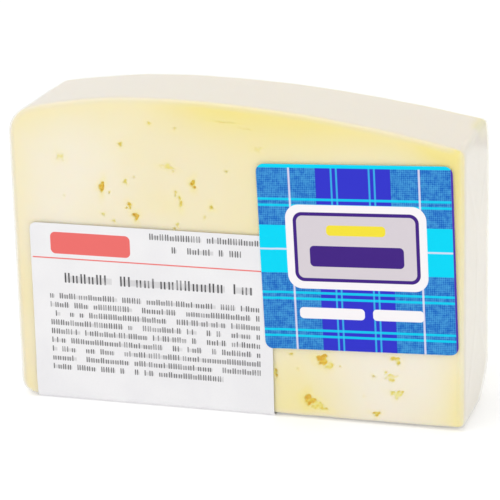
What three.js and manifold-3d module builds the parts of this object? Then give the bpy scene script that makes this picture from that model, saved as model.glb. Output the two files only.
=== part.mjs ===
// A retail portion of semi-hard cheese: an upright slice cut across a loaf, wrapped in clear film that a
// folded price label and a square sticker hold closed. Millimetres, +Z up, the labelled cut face towards
// -Y, and the origin under the middle of the base.

import * as THREE from "three";
import { LoftGeometry } from "three/addons/geometries/LoftGeometry.js";
import { mergeVertices } from "three/addons/utils/BufferGeometryUtils.js";
import Module from "manifold-3d";

const wasm = await Module();
wasm.setup();

// The slice seen from its cut face. Two rind arcs meet at the crown and drop to a shoulder at each side.
const SLICE_WIDTH = 105.9;
const SLICE_THICKNESS = 27.2;
const CROWN_HEIGHT = 72.4;
const CROWN_FROM_LEFT = 33;
const LEFT_SHOULDER_DROP = 4.6;
const RIGHT_SHOULDER_DROP = 8.8;
const TOP_LEFT_RADIUS = 6.5;
const TOP_RIGHT_RADIUS = 1.9;
const BASE_RIGHT_RADIUS = 1;
const BASE_LEFT_RADIUS = 3.5;
const CUT_EDGE_RADIUS = 0.8;

// The base turns up a little towards the right end, and dies out by TOE_HEIGHT up the slice.
const TOE_REACH = 18;
const TOE_LIFT = 0.2;
const TOE_HEIGHT = 20;

// Both shoulders stand higher at the back than at the front, less and less towards the crown. The rise
// starts REAR_RISE_HEIGHT below the right shoulder.
const REAR_RISE_LEFT = 1.5;
const REAR_RISE_RIGHT = 1.1;
const REAR_RISE_POWER = 3;
const REAR_RISE_HEIGHT = 12;

// The lower back edge is rubbed round at the right end, less and less over WORN_REACH to the left. The
// round starts on the base and would end a little past the back cut face.
const WORN_RADIUS = 22;
const WORN_PAST_BACK = 4;
const WORN_REACH = 32;

// The upper back corner at the right end is pressed to a flat facet, measured along each edge from there.
const FACET_DOWN = 5;
const FACET_FORWARD = 20;
const FACET_LEFT = 0.5;

// Eyes in the cut faces: across from the middle, up from the slice's base, width, height and tilt in degrees.
const EYE_DEPTH_SHARE = 0.5;
const FRONT_EYES = [
  [-40.8, 58, 2.5, 2, 10],
  [-31, 51.4, 1.6, 2.7, -8],
  [-26, 61.6, 1.3, 1.2, 0],
  [-25.2, 53, 1.1, 1.3, 0],
  [-24.3, 47.5, 1.3, 1.8, 20],
  [-22.9, 45, 1.8, 1.7, 0],
  [-14.9, 57, 3, 1.5, -12],
  [-12.1, 48.8, 1, 2.8, 5],
  [-9, 53.2, 1.5, 2.1, 0],
  [-4.8, 48, 1.3, 1.2, 0],
  [20.7, 13.8, 2.8, 3.2, 15],
  [9.5, 9.8, 1, 2.2, 0],
  [17.7, 2.8, 3.6, 2.8, -10],
  [36.5, 10.8, 3.2, 1.7, 8],
  [37.5, 15.2, 2.7, 1.8, -5],
  [37.8, 7, 3, 2.2, 12],
];
const BACK_EYES = [
  [-38, 20, 2.4, 1.9, 12],
  [-33, 47, 1.5, 2.4, -10],
  [-27, 12, 2.9, 2.2, 6],
  [-19, 58, 1.4, 1.3, 0],
  [-14, 34, 2.1, 3, 18],
  [-3, 22, 1.6, 1.4, 0],
  [4, 50, 2.7, 1.6, -14],
  [12, 9, 1.8, 2.5, 5],
  [19, 38, 1.3, 2, 0],
  [27, 55, 2.3, 1.7, 9],
  [34, 27, 3, 2.3, -7],
  [41, 44, 1.5, 1.6, 0],
];

// Film: a thin skin round the slice, open along one seam under the base, which the price label's flap covers.
const FILM_CLEARANCE = 0.2;
const FILM_WALL = 0.15;
const SEAM_LENGTH = 66;
const SEAM_WIDTH = 0.4;
const SEAM_FROM_LEFT = 9;
const SEAM_INSIDE_FLAP = 2;

// Both stickers. The price label runs down the front, round the lower edge and on under the base.
const LABEL_CLEARANCE = 0.05;
const LABEL_THICKNESS = 0.15;
const PRICE_LABEL_WIDTH = 58;
const PRICE_LABEL_FROM_LEFT = 4.4;
const PRICE_LABEL_UP_FRONT = 42.8;
const PRICE_LABEL_UNDER_BASE = 17;
const PRICE_LABEL_CORNER = 1.5;
const SQUARE_LABEL_WIDTH = 44.5;
const SQUARE_LABEL_HEIGHT = 43;
const SQUARE_LABEL_CORNER = 1.8;
const SQUARE_LABEL_FROM_RIGHT = 24.3;
const SQUARE_LABEL_BELOW_CROWN = 34.2;
const SQUARE_LABEL_TILT = THREE.MathUtils.degToRad(2);

// How finely the rings of the loft are divided.
const STEPS = { base: 12, side: 6, corner: 4, rindLeft: 6, rindRight: 11, edge: 3, through: 6 };
const FACE_RINGS = [0, 0.3, 0.65, 0.9];
const ARC_STEPS = 6;
const CONE_STEPS = 48;
const MERGE_DISTANCE = 1e-4;

// The stack from the slice outwards. The portion stands on the flap, and the film's ends are at FILM_SIDE.
const FILM_OUT = FILM_CLEARANCE + FILM_WALL;
const LABEL_OUT = LABEL_CLEARANCE + LABEL_THICKNESS;
const SLICE_BASE = LABEL_OUT + FILM_OUT;
const HALF_WIDTH = SLICE_WIDTH / 2;
const HALF_THICKNESS = SLICE_THICKNESS / 2;
const CROWN_X = CROWN_FROM_LEFT - HALF_WIDTH;
const SHOULDER_RIGHT = CROWN_HEIGHT - RIGHT_SHOULDER_DROP;
const FILM_SIDE = HALF_WIDTH + FILM_OUT;
const PRICE_LABEL_X = PRICE_LABEL_FROM_LEFT + PRICE_LABEL_WIDTH / 2 - FILM_SIDE;
const PRICE_LABEL_FRONT = -(HALF_THICKNESS + FILM_OUT + LABEL_OUT);

// The square label lies on the price label where the two meet, and on the film where they don't.
const SQUARE_LABEL_X = FILM_SIDE - SQUARE_LABEL_FROM_RIGHT;
const LABELS_APART = SQUARE_LABEL_X - PRICE_LABEL_X - (SQUARE_LABEL_WIDTH + PRICE_LABEL_WIDTH) / 2;
const LABEL_STACK = LABELS_APART < 0 ? 2 * LABEL_OUT : LABEL_OUT;

// Solids: a closed three.js geometry becomes a manifold, and a manifold becomes a geometry again.

// Triangles that shrink to a line where vertices merge, as at the middle of a face, are left out.
function solid(geometry) {
  const bare = new THREE.BufferGeometry().copy(geometry);
  bare.deleteAttribute("normal");
  bare.deleteAttribute("uv");
  const merged = mergeVertices(bare, MERGE_DISTANCE);
  const corners = merged.index.array;
  const triangles = [];
  for (let i = 0; i < corners.length; i += 3) {
    const [a, b, c] = corners.subarray(i, i + 3);
    if (a !== b && b !== c && c !== a) triangles.push(a, b, c);
  }
  const vertProperties = merged.attributes.position.array;
  const triVerts = new Uint32Array(triangles);
  return new wasm.Manifold(new wasm.Mesh({ numProp: 3, vertProperties, triVerts }));
}

function geometryOf(manifold) {
  const { vertProperties, triVerts } = manifold.getMesh();
  const geometry = new THREE.BufferGeometry();
  geometry.setAttribute("position", new THREE.BufferAttribute(vertProperties, 3));
  geometry.setIndex(new THREE.BufferAttribute(triVerts, 1));
  geometry.computeVertexNormals();
  return geometry;
}

// Slice: rings of the outline, lofted from the back cut face to the front one.

const rindRadius = (run, drop) => (run ** 2 + drop ** 2) / (2 * drop);

// A rind arc centred below the crown, and the corner that joins it to the side at x = side * HALF_WIDTH.
function rindEnd(side, run, drop, cornerRadius) {
  const radius = rindRadius(run, drop);
  const centre = CROWN_HEIGHT - radius;
  const x = side * (HALF_WIDTH - cornerRadius);
  const z = centre + Math.sqrt((radius - cornerRadius) ** 2 - (x - CROWN_X) ** 2);
  return { radius, centre, x, z, cornerRadius, angle: Math.atan2(z - centre, x - CROWN_X) };
}

const RIGHT_END = rindEnd(1, SLICE_WIDTH - CROWN_FROM_LEFT, RIGHT_SHOULDER_DROP, TOP_RIGHT_RADIUS);
const LEFT_END = rindEnd(-1, CROWN_FROM_LEFT, LEFT_SHOULDER_DROP, TOP_LEFT_RADIUS);

// The outline in (x, z), anticlockwise from the base's left end, with every side moved out by grow.
function outline(grow) {
  const half = HALF_WIDTH + grow;
  const quarter = Math.PI / 2;
  const line = (x0, z0, x1, z1) =>
    new THREE.LineCurve(new THREE.Vector2(x0, z0), new THREE.Vector2(x1, z1));
  const arc = (x, z, radius, from, to) =>
    new THREE.EllipseCurve(x, z, radius + grow, radius + grow, from, to);
  const right = RIGHT_END;
  const left = LEFT_END;
  const baseRight = HALF_WIDTH - BASE_RIGHT_RADIUS;
  const baseLeft = BASE_LEFT_RADIUS - HALF_WIDTH;
  const pieces = [
    [line(baseLeft, -grow, baseRight, -grow), STEPS.base],
    [arc(baseRight, BASE_RIGHT_RADIUS, BASE_RIGHT_RADIUS, -quarter, 0), STEPS.corner],
    [line(half, BASE_RIGHT_RADIUS, half, right.z), STEPS.side],
    [arc(right.x, right.z, right.cornerRadius, 0, right.angle), STEPS.corner],
    [arc(CROWN_X, right.centre, right.radius, right.angle, quarter), STEPS.rindRight],
    [arc(CROWN_X, left.centre, left.radius, quarter, left.angle), STEPS.rindLeft],
    [arc(left.x, left.z, left.cornerRadius, left.angle, Math.PI), STEPS.corner],
    [line(-half, left.z, -half, BASE_LEFT_RADIUS), STEPS.side],
    [arc(baseLeft, BASE_LEFT_RADIUS, BASE_LEFT_RADIUS, Math.PI, 3 * quarter), STEPS.corner],
  ];
  return pieces.flatMap(([curve, steps]) => curve.getPoints(steps).slice(0, -1));
}

// The same outline on the flat cut face, drawn in towards the middle of the face.
function faceRing(share) {
  const middle = CROWN_HEIGHT / 2;
  return outline(-CUT_EDGE_RADIUS).map(
    (p) => new THREE.Vector2(p.x * share, middle + (p.y - middle) * share),
  );
}

// How far the turned-up base lifts a point of the outline.
function toeLift(x, z) {
  const low = THREE.MathUtils.clamp(1 - z / TOE_HEIGHT, 0, 1);
  const toe = THREE.MathUtils.clamp(1 - (HALF_WIDTH - x) / TOE_REACH, 0, 1);
  return TOE_LIFT * (toe * low) ** 2;
}

// How far a shoulder rises towards the back.
function rearRise(x, y, z) {
  const right = x > CROWN_X;
  const run = right ? SLICE_WIDTH - CROWN_FROM_LEFT : CROWN_FROM_LEFT;
  const most = right ? REAR_RISE_RIGHT : REAR_RISE_LEFT;
  const high = THREE.MathUtils.clamp(1 - (SHOULDER_RIGHT - z) / REAR_RISE_HEIGHT, 0, 1);
  const back = THREE.MathUtils.clamp((y + HALF_THICKNESS) / SLICE_THICKNESS, 0, 1);
  return most * (Math.abs(x - CROWN_X) / run) ** REAR_RISE_POWER * high * back;
}

function ringAt(y, points) {
  return points.map((p) => {
    const z = p.y + toeLift(p.x, p.y);
    return new THREE.Vector3(p.x, y, z + rearRise(p.x, y, z));
  });
}

// One cut face and its rounded edge, from the middle of the face outwards. side is 1 at the back.
function faceRings(side, grow) {
  const face = HALF_THICKNESS + grow;
  const radius = CUT_EDGE_RADIUS + grow;
  const rings = FACE_RINGS.map((share) => ringAt(side * face, faceRing(share)));
  for (let k = 0; k <= STEPS.edge; k++) {
    const angle = ((Math.PI / 2) * k) / STEPS.edge;
    const y = side * (face - radius * (1 - Math.cos(angle)));
    rings.push(ringAt(y, outline(grow - radius * (1 - Math.sin(angle)))));
  }
  return rings;
}

function loftedSlice(grow) {
  const straight = HALF_THICKNESS - CUT_EDGE_RADIUS;
  const rings = faceRings(1, grow);
  for (let k = 1; k < STEPS.through; k++)
    rings.push(ringAt(straight * (1 - (2 * k) / STEPS.through), outline(grow)));
  rings.push(...faceRings(-1, grow).reverse());
  return solid(new LoftGeometry(rings));
}

// A block whose lower face is the facet's plane, for cutting the upper back corner at the right end.
function facetCutter(grow) {
  const corner = new THREE.Vector3(HALF_WIDTH, HALF_THICKNESS, SHOULDER_RIGHT);
  const down = corner.clone().add(new THREE.Vector3(0, 0, -FACET_DOWN));
  const forward = corner.clone().add(new THREE.Vector3(0, -FACET_FORWARD, 0));
  const left = corner.clone().add(new THREE.Vector3(-FACET_LEFT, 0, 0));
  const plane = new THREE.Plane().setFromCoplanarPoints(down, left, forward);
  if (plane.distanceToPoint(corner) < 0) plane.negate();
  const size = 2 * (FACET_DOWN + FACET_FORWARD + FACET_LEFT);
  const block = new THREE.BoxGeometry(size, size, size);
  const turn = new THREE.Quaternion().setFromUnitVectors(new THREE.Vector3(0, 0, 1), plane.normal);
  const centre = plane.projectPoint(corner, new THREE.Vector3());
  centre.addScaledVector(plane.normal, size / 2 + grow);
  block.applyQuaternion(turn).translate(centre.x, centre.y, centre.z);
  return solid(block);
}

// What lies outside a cone along the lower back edge. It touches the base at the right end and the edge
// itself at the left end of its reach.
function wornCutter(grow) {
  const spare = WORN_REACH / 8;
  const length = WORN_REACH + spare;
  const fromBack = WORN_RADIUS - WORN_PAST_BACK;
  const wide = Math.hypot(WORN_RADIUS, fromBack);
  const narrow = WORN_RADIUS - ((wide - WORN_RADIUS) * spare) / WORN_REACH;
  const x = HALF_WIDTH - WORN_REACH + length / 2;
  const y = HALF_THICKNESS - fromBack;
  const cone = new THREE.CylinderGeometry(narrow + grow, wide + grow, length, CONE_STEPS);
  cone.rotateZ(-Math.PI / 2).translate(x, y, WORN_RADIUS);
  const block = new THREE.BoxGeometry(length, 2 * wide, 2 * wide);
  block.translate(x, y + wide, WORN_RADIUS - wide);
  return solid(block).subtract(solid(cone));
}

function wholeSlice(grow) {
  return loftedSlice(grow).subtract(facetCutter(grow)).subtract(wornCutter(grow));
}

// One eye: an oval pit whose middle lies on the cut face at side * HALF_THICKNESS.
function eyePit(side, [across, up, width, height, tilt]) {
  const pit = new THREE.SphereGeometry(1, 9, 6);
  pit.scale(width / 2, EYE_DEPTH_SHARE * Math.min(width, height), height / 2);
  pit.rotateY(THREE.MathUtils.degToRad(tilt));
  pit.translate(across, side * HALF_THICKNESS, up);
  return solid(pit);
}

function cheeseGeometry() {
  let slice = wholeSlice(0);
  for (const eye of FRONT_EYES) slice = slice.subtract(eyePit(-1, eye));
  for (const eye of BACK_EYES) slice = slice.subtract(eyePit(1, eye));
  return geometryOf(slice);
}

// Film: the space between two grown slices, open along the seam.

function seamCutter() {
  const deep = 4 * FILM_OUT;
  const seam = new THREE.BoxGeometry(SEAM_LENGTH, SEAM_WIDTH, deep);
  const x = SEAM_FROM_LEFT + SEAM_LENGTH / 2 - HALF_WIDTH;
  const y = PRICE_LABEL_FRONT + PRICE_LABEL_UNDER_BASE - SEAM_INSIDE_FLAP;
  seam.translate(x, y, -FILM_OUT);
  return solid(seam);
}

function filmGeometry() {
  const skin = wholeSlice(FILM_OUT).subtract(wholeSlice(FILM_CLEARANCE));
  return geometryOf(skin.subtract(seamCutter()));
}

// Stickers.

// An upright oblong with rounded corners, centred on the origin in its own plane.
function roundedOblong(width, height, radius) {
  const x = width / 2 - radius;
  const y = height / 2 - radius;
  const quarter = Math.PI / 2;
  const shape = new THREE.Shape();
  shape.absarc(x, y, radius, 0, quarter);
  shape.absarc(-x, y, radius, quarter, 2 * quarter);
  shape.absarc(-x, -y, radius, 2 * quarter, 3 * quarter);
  shape.absarc(x, -y, radius, 3 * quarter, 4 * quarter);
  return shape;
}

function extruded(shape, depth) {
  return new THREE.ExtrudeGeometry(shape, { depth, bevelEnabled: false, curveSegments: ARC_STEPS });
}

// The folded strip's section in (y, z): down the front, round the film's lower edge and under its base.
function foldedSection(front, under, top) {
  const inner = CUT_EDGE_RADIUS + FILM_OUT + LABEL_CLEARANCE;
  const outer = inner + LABEL_THICKNESS;
  const y = front + outer;
  const z = outer;
  const shape = new THREE.Shape();
  shape.moveTo(front, top);
  shape.lineTo(front, z);
  shape.absarc(y, z, outer, Math.PI, 1.5 * Math.PI);
  shape.lineTo(front + under, 0);
  shape.lineTo(front + under, LABEL_THICKNESS);
  shape.absarc(y, z, inner, 1.5 * Math.PI, Math.PI, true);
  shape.lineTo(front + LABEL_THICKNESS, top);
  return shape;
}

// The strip, trimmed to round corners on the front panel and on the flap under the base.
function priceLabelGeometry() {
  const front = PRICE_LABEL_FRONT;
  const under = PRICE_LABEL_UNDER_BASE;
  const top = PRICE_LABEL_UP_FRONT;
  const strip = extruded(foldedSection(front, under, top), PRICE_LABEL_WIDTH);
  strip.rotateX(Math.PI / 2).rotateZ(Math.PI / 2);
  strip.translate(-PRICE_LABEL_WIDTH / 2, 0, 0);
  const spare = 4 * PRICE_LABEL_CORNER;
  const frontTrim = extruded(
    roundedOblong(PRICE_LABEL_WIDTH, top + spare, PRICE_LABEL_CORNER),
    SLICE_THICKNESS * 2,
  );
  frontTrim.rotateX(Math.PI / 2).translate(0, SLICE_THICKNESS, (top - spare) / 2);
  const baseTrim = extruded(
    roundedOblong(PRICE_LABEL_WIDTH, under + spare, PRICE_LABEL_CORNER),
    2 * CROWN_HEIGHT,
  );
  baseTrim.translate(0, front + (under - spare) / 2, -CROWN_HEIGHT);
  return geometryOf(solid(strip).intersect(solid(frontTrim)).intersect(solid(baseTrim)));
}

function squareLabelGeometry() {
  const shape = roundedOblong(SQUARE_LABEL_WIDTH, SQUARE_LABEL_HEIGHT, SQUARE_LABEL_CORNER);
  return extruded(shape, LABEL_THICKNESS).rotateX(Math.PI / 2);
}

// Assembly.

function part(name, geometry, look) {
  const mesh = new THREE.Mesh(geometry, new THREE.MeshStandardMaterial({ metalness: 0, ...look }));
  mesh.name = name;
  return mesh;
}

const cheese = part("cheese", cheeseGeometry(), { color: 0xf4e8c8, roughness: 0.55 });
cheese.position.z = SLICE_BASE;

const film = part("film_wrap", filmGeometry(), {
  color: 0xf8f8f6,
  roughness: 0.12,
  transparent: true,
  opacity: 0.2,
});
film.position.z = SLICE_BASE;

const priceLabel = part("price_label", priceLabelGeometry(), { color: 0xf1efee, roughness: 0.6 });
priceLabel.position.x = PRICE_LABEL_X;

const squareLabel = part("square_label", squareLabelGeometry(), { color: 0x2e7fd0, roughness: 0.35 });
squareLabel.rotation.y = -SQUARE_LABEL_TILT;
squareLabel.position.set(
  SQUARE_LABEL_X,
  LABEL_THICKNESS - (HALF_THICKNESS + FILM_OUT + LABEL_STACK),
  SLICE_BASE + CROWN_HEIGHT - SQUARE_LABEL_BELOW_CROWN,
);

// The stickers stand out from the front only, so the whole is moved back to centre its box on the origin.
const portion = new THREE.Group();
portion.position.y = LABEL_STACK / 2;
portion.add(cheese, film, priceLabel, squareLabel);

export default portion;
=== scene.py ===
"""A wrapped retail slice of semi-hard cheese with two stickers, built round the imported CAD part.

Lengths are in millimetres until MM turns them into metres. Surfaces repeat the CAD part's rules: an upright
slice under two rind arcs, a film skin, a price label folded under the base and a square sticker. The slice's
own frame has x to the right, y to the back and z up, with its origin at the middle of its base.
"""

import math

import bmesh
import bpy
import numpy as np
from mathutils import Matrix, Vector


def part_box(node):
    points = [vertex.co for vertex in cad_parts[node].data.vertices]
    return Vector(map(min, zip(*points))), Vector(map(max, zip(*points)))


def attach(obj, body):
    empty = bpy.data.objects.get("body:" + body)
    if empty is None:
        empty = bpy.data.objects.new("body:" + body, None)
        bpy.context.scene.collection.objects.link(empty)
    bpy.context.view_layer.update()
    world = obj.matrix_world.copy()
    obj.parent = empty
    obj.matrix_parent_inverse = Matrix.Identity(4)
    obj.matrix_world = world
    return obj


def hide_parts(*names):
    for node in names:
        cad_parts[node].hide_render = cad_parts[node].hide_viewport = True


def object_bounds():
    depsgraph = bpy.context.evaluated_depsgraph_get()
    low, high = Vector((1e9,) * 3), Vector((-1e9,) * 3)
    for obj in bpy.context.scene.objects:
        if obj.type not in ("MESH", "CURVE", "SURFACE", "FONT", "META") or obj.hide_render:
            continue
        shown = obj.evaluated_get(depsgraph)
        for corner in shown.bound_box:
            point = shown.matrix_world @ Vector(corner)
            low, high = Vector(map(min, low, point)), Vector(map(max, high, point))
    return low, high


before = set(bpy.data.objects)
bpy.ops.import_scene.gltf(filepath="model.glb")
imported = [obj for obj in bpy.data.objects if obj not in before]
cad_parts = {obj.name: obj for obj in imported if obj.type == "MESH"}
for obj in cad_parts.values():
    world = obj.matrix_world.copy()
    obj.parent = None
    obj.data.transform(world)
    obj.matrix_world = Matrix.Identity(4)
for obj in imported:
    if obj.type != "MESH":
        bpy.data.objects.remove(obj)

CAD_BOX = [list(corner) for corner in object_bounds()]
MM = 0.001
SEED = 41

# The slice, as in the CAD part.
CHEESE_LO, CHEESE_HI = (np.array(corner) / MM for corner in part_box("cheese"))
WIDTH, THICKNESS, HEIGHT = CHEESE_HI - CHEESE_LO
MIDDLE_Y = (CHEESE_LO[1] + CHEESE_HI[1]) / 2
BASE_Z = CHEESE_LO[2]
HALF_WIDTH = WIDTH / 2
HALF_THICKNESS = THICKNESS / 2
CROWN_FROM_LEFT = 33.0
CROWN_X = CROWN_FROM_LEFT - HALF_WIDTH
LEFT_SHOULDER_DROP = 4.6
RIGHT_SHOULDER_DROP = 8.8
TOP_LEFT_RADIUS = 6.5
TOP_RIGHT_RADIUS = 1.9
BASE_RIGHT_RADIUS = 1.0
BASE_LEFT_RADIUS = 3.5
CUT_EDGE_RADIUS = 0.8
TOE_REACH = 18.0
TOE_LIFT = 0.2
TOE_HEIGHT = 20.0
REAR_RISE_LEFT = 1.5
REAR_RISE_RIGHT = 1.1
REAR_RISE_POWER = 3
REAR_RISE_HEIGHT = 12.0
WORN_RADIUS = 22.0
WORN_PAST_BACK = 4.0
WORN_REACH = 32.0
FACET_DOWN = 5.0
FACET_FORWARD = 20.0
FACET_LEFT = 0.5
FACET_SOFT = 0.12

# Layers outwards from the slice.
FILM_OUT = 0.35
FILM_IN = 0.24
LABEL_GAP = 0.05
LABEL_WALL = 0.15

# How finely the skins are divided.
CORNER_STEPS = 48
RIND_STEPS = 160
EDGE_ROUND_STEPS = 5
CHEESE_STEP, CHEESE_DEPTH_STEP = 0.75, 1.0
FILM_STEP = 0.8
LABEL_STEP = 0.5


def smoothstep(lo, hi, x):
    """0 before lo and 1 past hi, or the other way round where hi is the lower one."""
    t = np.clip((x - lo) / (hi - lo), 0.0, 1.0)
    return t * t * (3 - 2 * t)


def rind_radius(run, drop):
    """The radius of a rind arc that falls by drop over run from the crown."""
    return (run**2 + drop**2) / (2 * drop)


def rind_end(side, run, drop, corner):
    """A rind arc's radius and centre height, then its corner arc's centre and the angle where they meet."""
    radius = rind_radius(run, drop)
    centre = HEIGHT - radius
    x = side * (HALF_WIDTH - corner)
    z = centre + math.sqrt((radius - corner) ** 2 - (x - CROWN_X) ** 2)
    return radius, centre, x, z, math.atan2(z - centre, x - CROWN_X)


def arc(x, z, radius, start, end, steps=CORNER_STEPS):
    """Points and outward normals along an arc."""
    angle = np.linspace(start, end, steps)
    normal = np.stack([np.cos(angle), np.sin(angle)], 1)
    return np.array([x, z]) + radius * normal, normal


def straight(x0, z0, x1, z1, steps=CORNER_STEPS):
    """Points and outward normals along a line, with the slice on its left."""
    t = np.linspace(0, 1, steps)[:, None]
    points = (1 - t) * np.array([x0, z0]) + t * np.array([x1, z1])
    run = np.array([x1 - x0, z1 - z0]) / math.hypot(x1 - x0, z1 - z0)
    return points, np.tile([run[1], -run[0]], (steps, 1))


def joined(*pieces):
    points = np.concatenate([p for p, _ in pieces])
    normals = np.concatenate([n for _, n in pieces])
    return points, normals


def evenly(points, normals, count):
    """count + 1 points at equal distances along a polyline, with their normals."""
    steps = np.linalg.norm(np.diff(points, axis=0), axis=1)
    along = np.concatenate([[0], np.cumsum(steps)])
    keep = np.concatenate([[True], steps > 1e-9])
    along, points, normals = along[keep], points[keep], normals[keep]
    at = np.linspace(0, along[-1], count + 1)
    p = np.stack([np.interp(at, along, points[:, k]) for k in range(2)], 1)
    n = np.stack([np.interp(at, along, normals[:, k]) for k in range(2)], 1)
    return p, n / np.linalg.norm(n, axis=1)[:, None]


def slice_runs(across, up):
    """The slice's outline as four runs that meet at the middles of its corner arcs, anticlockwise."""
    q = math.pi / 2
    rr, rc, rx, rz, ra = rind_end(1, WIDTH - CROWN_FROM_LEFT, RIGHT_SHOULDER_DROP, TOP_RIGHT_RADIUS)
    lr, lc, lx, lz, la = rind_end(-1, CROWN_FROM_LEFT, LEFT_SHOULDER_DROP, TOP_LEFT_RADIUS)
    bl, br = BASE_LEFT_RADIUS, BASE_RIGHT_RADIUS
    left, right = bl - HALF_WIDTH, HALF_WIDTH - br
    mid_left = (math.pi + la) / 2
    bottom = joined(
        arc(left, bl, bl, 2.5 * q, 3 * q),
        straight(left, 0, right, 0),
        arc(right, br, br, -q, -0.5 * q),
    )
    side_right = joined(
        arc(right, br, br, -0.5 * q, 0),
        straight(HALF_WIDTH, br, HALF_WIDTH, rz),
        arc(rx, rz, TOP_RIGHT_RADIUS, 0, ra / 2),
    )
    top = joined(
        arc(rx, rz, TOP_RIGHT_RADIUS, ra / 2, ra),
        arc(CROWN_X, rc, rr, ra, q, RIND_STEPS),
        arc(CROWN_X, lc, lr, q, la, RIND_STEPS),
        arc(lx, lz, TOP_LEFT_RADIUS, la, mid_left),
    )
    side_left = joined(
        arc(lx, lz, TOP_LEFT_RADIUS, mid_left, math.pi),
        straight(-HALF_WIDTH, lz, -HALF_WIDTH, bl),
        arc(left, bl, bl, math.pi, 2.5 * q),
    )
    sides = ((bottom, across), (side_right, up), (top, across), (side_left, up))
    runs = [evenly(*side, count) for side, count in sides]
    points = np.concatenate([p[:-1] for p, _ in runs])
    normals = np.concatenate([n[:-1] for _, n in runs])
    return points, normals


def coons(ring, nu, nv):
    """A grid over the inside of a closed ring of 2 * (nu + nv) points. grid[i, j] runs right and up."""
    bottom = ring[: nu + 1]
    right = ring[nu : nu + nv + 1]
    top = ring[nu + nv : 2 * nu + nv + 1][::-1]
    left = np.concatenate([ring[2 * nu + nv :], ring[:1]])[::-1]
    u = np.linspace(0, 1, nu + 1)[:, None, None]
    v = np.linspace(0, 1, nv + 1)[None, :, None]
    edges = (1 - v) * bottom[:, None] + v * top[:, None] + (1 - u) * left[None] + u * right[None]
    corners = (1 - u) * (1 - v) * ring[0] + u * (1 - v) * ring[nu]
    corners = corners + u * v * ring[nu + nv] + (1 - u) * v * ring[2 * nu + nv]
    return edges - corners


def grid_index(nu, nv, first, inner):
    """Vertex numbers of a coons grid whose border is a ring from first and whose inside starts at inner."""
    count = 2 * (nu + nv)
    index = np.zeros((nu + 1, nv + 1), int)
    index[:, 0] = first + np.arange(nu + 1)
    index[nu, :] = first + nu + np.arange(nv + 1)
    index[:, nv] = first + nu + nv + np.arange(nu + 1)[::-1]
    index[0, :] = first + (2 * nu + nv + np.arange(nv + 1)[::-1]) % count
    index[1:nu, 1:nv] = inner + np.arange((nu - 1) * (nv - 1)).reshape(nu - 1, nv - 1)
    return index


def grid_quads(index):
    """The quads of a grid of vertex numbers, facing the viewer in front."""
    a, b = index[:-1, :-1], index[1:, :-1]
    c, d = index[1:, 1:], index[:-1, 1:]
    return np.stack([a, b, c, d], -1).reshape(-1, 4)


def slice_skin(grow, step, depth_step):
    """The closed skin of the slice grown outwards: vertices in the slice's own frame, and quads."""
    nu, nv = round(WIDTH / step), round(HEIGHT / step)
    flat, normals = slice_runs(nu, nv)
    count = len(flat)
    radius = CUT_EDGE_RADIUS + grow
    face = HALF_THICKNESS + grow
    # Rings from the front cut face to the back one, as places along y and distances out of the outline.
    rounds = [math.pi / 2 * k / EDGE_ROUND_STEPS for k in range(EDGE_ROUND_STEPS)]
    rings = [(-(face - radius * (1 - math.cos(a))), grow - radius * (1 - math.sin(a))) for a in rounds]
    band = round((2 * (face - radius)) / depth_step)
    rings += [((face - radius) * (2 * k / band - 1), grow) for k in range(band + 1)]
    rings += [(-y, out) for y, out in rings[:EDGE_ROUND_STEPS][::-1]]
    verts = []
    for y, out in rings:
        ring = flat + normals * out
        verts.append(np.stack([ring[:, 0], np.full(count, y), ring[:, 1]], 1))
    inner = count * len(rings)
    cut_face = coons(flat + normals * rings[0][1], nu, nv)[1:nu, 1:nv].reshape(-1, 2)
    for y in (rings[0][0], rings[-1][0]):
        verts.append(np.stack([cut_face[:, 0], np.full(len(cut_face), y), cut_face[:, 1]], 1))
    quads = []
    here = np.arange(count)
    ahead = (here + 1) % count
    for k in range(len(rings) - 1):
        a, b = k * count, (k + 1) * count
        quads.append(np.stack([a + here, b + here, b + ahead, a + ahead], 1))
    quads.append(grid_quads(grid_index(nu, nv, 0, inner)))
    back = grid_quads(grid_index(nu, nv, count * (len(rings) - 1), inner + len(cut_face)))
    quads.append(back[:, ::-1])
    return shaped(np.concatenate(verts), grow), np.concatenate(quads)


def facet_plane():
    """The facet's unit normal and its distance from the origin."""
    corner = np.array([HALF_WIDTH, HALF_THICKNESS, HEIGHT - RIGHT_SHOULDER_DROP])
    normal = np.array([1 / FACET_LEFT, 1 / FACET_FORWARD, 1 / FACET_DOWN])
    size = np.linalg.norm(normal)
    return normal / size, (corner @ normal - 1) / size


def rear_rise(x, y, z):
    """How much higher the shoulders stand towards the back."""
    to_left = np.clip(CROWN_X - x, 0, None) / CROWN_FROM_LEFT
    to_right = np.clip(x - CROWN_X, 0, None) / (WIDTH - CROWN_FROM_LEFT)
    high = np.clip(1 - (HEIGHT - RIGHT_SHOULDER_DROP - z) / REAR_RISE_HEIGHT, 0, 1)
    back = np.clip((y + HALF_THICKNESS) / THICKNESS, 0, 1)
    rise = REAR_RISE_LEFT * to_left**REAR_RISE_POWER + REAR_RISE_RIGHT * to_right**REAR_RISE_POWER
    return rise * high * back


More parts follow.
